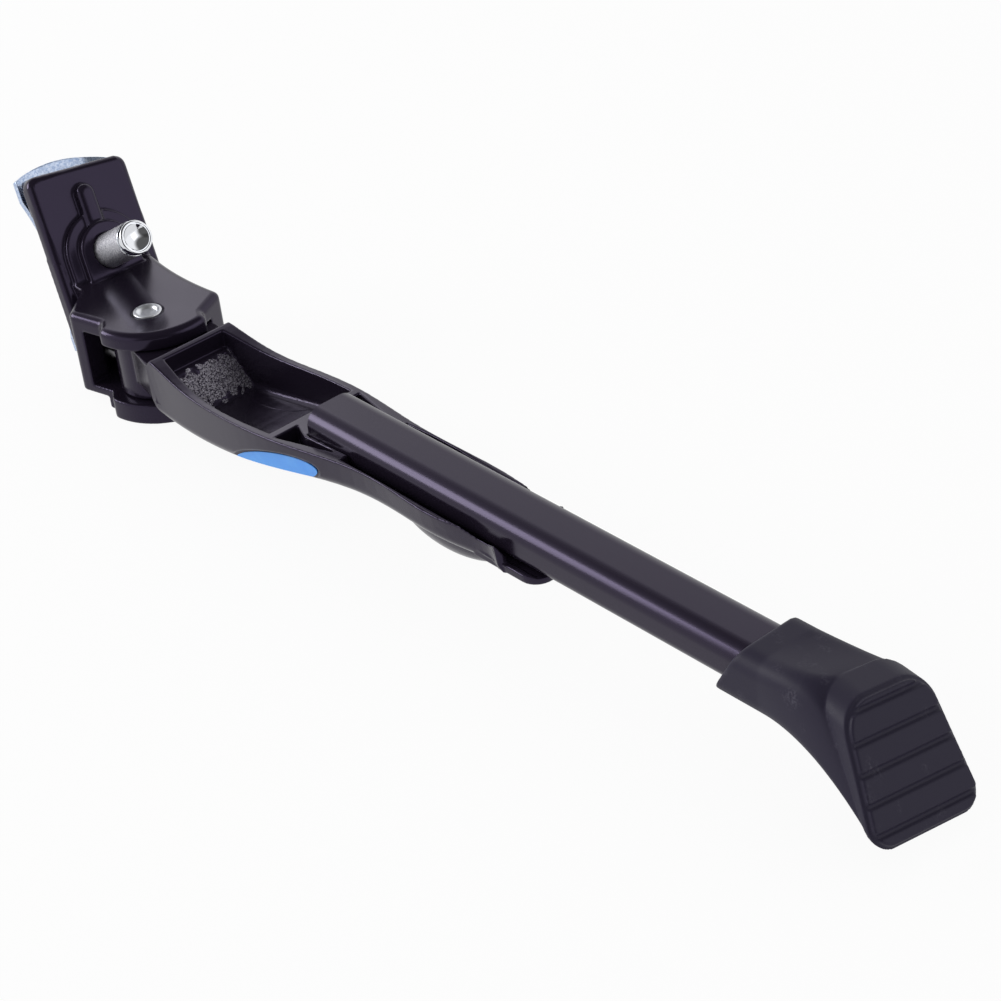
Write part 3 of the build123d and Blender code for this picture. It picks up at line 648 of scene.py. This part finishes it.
rounded_copy("clamp_plate", "pressed_clamp_plate", 0.35, "clamp", galvanised)
rounded_copy("bolt_washer", "plain_washer", 0.2, "clamp", zinc_frost)
rounded_copy("hinge_pin", "riveted_pin", 0.3, "bracket", satin_steel)

# %% [markdown]
# ## Bolt
# The bolt is a turned piece: a frosted shank, a ring groove near the end, and a burnished rim round a
# polished cup. A profile of lengths and radii is turned round the axis of the clamp's slide. The
# hexagon head is a separate ring of points, cut back at its corners by the usual 30 degree cone.

# %% Bolt
GROOVE_BACK, GROOVE_WIDE, GROOVE_DEEP = 2.0, 0.55, 0.5    # mm, ring groove behind the tip
GROOVE_SLANT, EDGE_BREAK = 0.05, 0.12                     # mm, slant of its walls and its broken edges
COLLAR, COLLAR_ROUND = 4.85, 0.6                          # mm, radius and edge of the tip beyond the groove
CUP_RADIUS, CUP_DEEP = 3.7, 1.15                          # mm, polished hollow in the tip
SCORE_OUT, SCORE_IN, SCORE_END = 0.45, 0.3, 0.15          # mm beyond the cup, fine line round it
SCORE_DEEP, RIM_DROP = 0.16, 0.02                         # mm below the tip, the line and the rim beside it
HEAD_CONE = 0.96                                          # of the width across flats, flat end of the head
COLLAR_STEPS, CUP_STEPS = 5, 10
TURNS = 72                                                # points round the bolt
BOLT_CREASE = 35                                          # degrees

slide = next(j for j in frame["joints"] if j["name"] == "clamp_open")
bolt_axis = -Vector(slide["axis"]).normalized()
washer_low, washer_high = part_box("bolt_washer")
washer_middle = (washer_low + washer_high) / 2
points = [v.co - washer_middle for v in frame["nodes"]["clamp_bolt"].data.vertices]
reach = [p.dot(bolt_axis) for p in points]
off_axis = [p - bolt_axis * r for p, r in zip(points, reach)]
tip, head_end = max(reach) / MM, min(reach) / MM
corner_way = max(off_axis, key=lambda p: p.length)
head_corner = corner_way.length / MM
under_head = max(r for r, p in zip(reach, off_axis) if p.length > 0.95 * corner_way.length) / MM
shank = max(p.length for r, p in zip(reach, off_axis) if r > 0.5 * max(reach)) / MM
first = corner_way.normalized()
second = bolt_axis.cross(first)
print("bolt tip", round(tip, 2), "under head", round(under_head, 2), "end", round(head_end, 2),
      "shank radius", round(shank, 2), "head corner", round(head_corner, 2))

groove = tip - GROOVE_BACK
profile = [
    (under_head, shank), (groove - GROOVE_WIDE - EDGE_BREAK, shank),
    (groove - GROOVE_WIDE, shank - EDGE_BREAK), (groove - GROOVE_WIDE + GROOVE_SLANT, shank - GROOVE_DEEP),
    (groove - GROOVE_SLANT, shank - GROOVE_DEEP), (groove, COLLAR - EDGE_BREAK),
    (groove + EDGE_BREAK, COLLAR),
]
for step in range(COLLAR_STEPS + 1):
    angle = pi / 2 * step / COLLAR_STEPS
    profile.append((tip - COLLAR_ROUND * (1 - sin(angle)), COLLAR - COLLAR_ROUND * (1 - cos(angle))))
profile += [(tip - RIM_DROP, CUP_RADIUS + SCORE_OUT), (tip - SCORE_DEEP, CUP_RADIUS + SCORE_IN),
            (tip - SCORE_DEEP, CUP_RADIUS + SCORE_END), (tip - RIM_DROP, CUP_RADIUS)]
for step in range(1, CUP_STEPS + 1):
    part = 1 - step / CUP_STEPS
    profile.append((tip - RIM_DROP - CUP_DEEP * (1 - part * part), CUP_RADIUS * part))


def flats_radius(angle):
    """Distance from the axis to a flat of the head, corners at every sixty degrees from zero."""
    return head_corner * cos(pi / 6) / cos((angle % (pi / 3)) - pi / 6)


bolt = bmesh.new()
def ring(along, radius):
    """One closed ring of points; radius is a number or a function of the angle, and so is along."""
    made = []
    for k in range(TURNS):
        angle = 2 * pi * k / TURNS
        r = radius(angle) if callable(radius) else radius
        s = along(angle) if callable(along) else along
        way = first * cos(angle) + second * sin(angle)
        made.append(bolt.verts.new(washer_middle + (bolt_axis * s + way * r) * MM))
    return made


rings = [ring(s, r) for s, r in profile[:-1]]
for k, (lower, upper) in enumerate(zip(rings, rings[1:])):
    join_rings(bolt, lower, upper, 1 if k > 0 else 0)
top = bolt.verts.new(washer_middle + bolt_axis * (profile[-1][0] * MM))
for k in range(TURNS):
    face = bolt.faces.new((rings[-1][k], rings[-1][(k + 1) % TURNS], top))
    face.material_index, face.smooth = 1, True
cone = head_corner * cos(pi / 6) * HEAD_CONE
head = [
    rings[0], ring(under_head, flats_radius),
    ring(lambda a: head_end + (flats_radius(a) - cone) * tan(radians(30)), flats_radius),
    ring(head_end, cone),
]
for lower, upper in zip(head, head[1:]):
    join_rings(bolt, upper, lower)
bolt.faces.new(list(reversed(head[-1]))).smooth = True
bmesh.ops.recalc_face_normals(bolt, faces=bolt.faces)
data = to_data(bolt, "turned_bolt")
data.set_sharp_from_angle(angle=radians(BOLT_CREASE))
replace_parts(add_piece("turned_bolt", data, "clamp", zinc_frost, bright_steel), "clamp_bolt")
print("bolt faces", len(data.polygons))

# %% [markdown]
# ## Parts that stay as they are
# The label, the lock screw, the plunger and the spring are already the right shape, so the solids stay
# and only get their finishes.

# %% Finishes on solids
for node, finish in (("sticker", blue_vinyl), ("lock_screw", zinc_frost), ("detent_plunger", black_oxide),
                     ("detent_spring", black_oxide)):
    data = frame["nodes"][node].data
    data.materials.clear()
    data.materials.append(finish)
    print(node, finish.name)

# %% [markdown]
# ## Floor, light and background
# The stand lies on a white table in a light tent. The table's paper glows for the camera and for
# reflections, so that the background is white without more light on the stand, and keeps a part of its
# own matt surface, so that the stand still casts a soft shadow. Reflections see its glow a little darker:
# a painted shade for the shadow they would meet on the paper close to the stand.

# %% Stage
TABLE_HALF = 3.0                       # m
TABLE_BELOW = 0.0002                   # m under the stand
PAPER_GLOW = 0.93                      # share of the glow
PAPER_GLOW_SHADED_IN_REFLECTIONS = 0.82                  # of the white, in reflections, a painted shade near the stand

floor_mesh = bpy.data.meshes.new("table")
corners = [(x * TABLE_HALF, y * TABLE_HALF, 0) for x, y in ((-1, -1), (1, -1), (1, 1), (-1, 1))]
floor_mesh.from_pydata(corners, [], [(0, 1, 2, 3)])
table = bpy.data.objects.new("table", floor_mesh)
bpy.context.scene.collection.objects.link(table)
table.location.z = cad_box[0].z - TABLE_BELOW

paper, tree = new_finish("white_paper")
ray = add_node(tree, "ShaderNodeLightPath")
matt = add_node(tree, "ShaderNodeBsdfDiffuse", {"Color": linear("#f7f7f7")})
# reflections see a weaker glow, a painted shade for the stand's shadow on the paper
white = add_node(tree, "ShaderNodeMapRange", {
    "Value": ray.outputs["Is Glossy Ray"], "To Min": 1.0, "To Max": PAPER_GLOW_SHADED_IN_REFLECTIONS})
glow = add_node(tree, "ShaderNodeEmission", {"Color": (1, 1, 1, 1), "Strength": white.outputs["Result"]})
seen = add_node(tree, "ShaderNodeMath", {0: ray.outputs["Is Camera Ray"], 1: ray.outputs["Is Glossy Ray"]},
                operation="MAXIMUM")
share = add_node(tree, "ShaderNodeMath", {0: seen.outputs[0], 1: PAPER_GLOW}, operation="MULTIPLY")
both = add_node(tree, "ShaderNodeMixShader", {0: share.outputs[0], 1: matt.outputs[0], 2: glow.outputs[0]})
add_node(tree, "ShaderNodeOutputMaterial", {"Surface": both.outputs[0]})
floor_mesh.materials.append(paper)

# %% [markdown]
# The tent has white walls. It is open at the top, and open towards the camera, where the room is dark.
# Polished metal and enamel need those dark patches as much as the white: rounded edges turn them into the
# black lines beside their highlights. The camera and the diffuse light see an even white.

# %% Light tent
TENT_LIGHT = 0.6                       # of the white, for matt surfaces
OPENINGS = (                           # direction of the middle, degrees from it to the start and the darkest
    (Vector((0.1, -0.05, 1.0)), 60, 37), (Vector((0.8, -0.55, 0.18)), 44, 25))
OPENING_DARK = 0.1

world = bpy.data.worlds.new("light_tent")
bpy.context.scene.world = world
world.use_nodes = True
tree = world.node_tree
tree.nodes.clear()
ray = add_node(tree, "ShaderNodeLightPath")
seen = add_node(tree, "ShaderNodeMath", {0: ray.outputs["Is Camera Ray"], 1: ray.outputs["Is Glossy Ray"]},
                operation="MAXIMUM")
level = add_node(tree, "ShaderNodeMapRange", {"Value": seen.outputs[0], "To Min": TENT_LIGHT, "To Max": 1.0})
level = level.outputs["Result"]
way = add_node(tree, "ShaderNodeTexCoord").outputs["Generated"]
for middle, starts, darkest in OPENINGS:
    towards = add_node(tree, "ShaderNodeVectorMath", {0: way, 1: middle.normalized()},
                       operation="DOT_PRODUCT")
    wall = add_node(tree, "ShaderNodeMapRange", {
        "Value": towards.outputs["Value"], "From Min": cos(radians(starts)),
        "From Max": cos(radians(darkest)), "To Min": 1.0, "To Max": OPENING_DARK},
        interpolation_type="SMOOTHSTEP")
    wall = add_node(tree, "ShaderNodeMapRange", {
        "Value": ray.outputs["Is Glossy Ray"], "To Min": 1.0, "To Max": wall.outputs["Result"]})
    level = add_node(tree, "ShaderNodeMath", {0: level, 1: wall.outputs["Result"]},
                     operation="MULTIPLY").outputs[0]
sky = add_node(tree, "ShaderNodeBackground", {"Color": (1, 1, 1, 1), "Strength": level})
add_node(tree, "ShaderNodeOutputWorld", {"Surface": sky.outputs[0]})
bpy.context.scene.view_settings.view_transform = "Standard"
print("tent openings", [[round(v, 2) for v in middle.normalized()] for middle, _, _ in OPENINGS])

# %% [markdown]
# Three soft boxes stand in the tent. The one on the left draws the long highlight on the tube's shoulder and
# the thin bright lines on the rims; the one behind lies in the ear's top face, and the one on the right in
# the plate, the bolt's tip and the sole.

# %% Soft boxes
def soft_box(name, place, size, radiance):
    """A square lamp that looks at the hinge; radiance 1 is as bright as the white of the tent."""
    lamp = bpy.data.lights.new(name, "AREA")
    lamp.shape, lamp.size = "SQUARE", size
    lamp.energy = radiance * pi * size * size
    box = bpy.data.objects.new(name, lamp)
    box.location = pin_top + Vector(place)
    box.rotation_euler = (-Vector(place)).to_track_quat("-Z", "Y").to_euler()
    bpy.context.scene.collection.objects.link(box)
    print(name, "at", [round(v, 2) for v in box.location])


soft_box("soft_box_left", (-0.85, -0.8, 0.5), 0.6, 6.2)
soft_box("soft_box_behind", (-1.25, 0.5, 0.72), 0.55, 0.65)
soft_box("soft_box_right", (1.12, 0.66, 0.5), 0.8, 0.4)
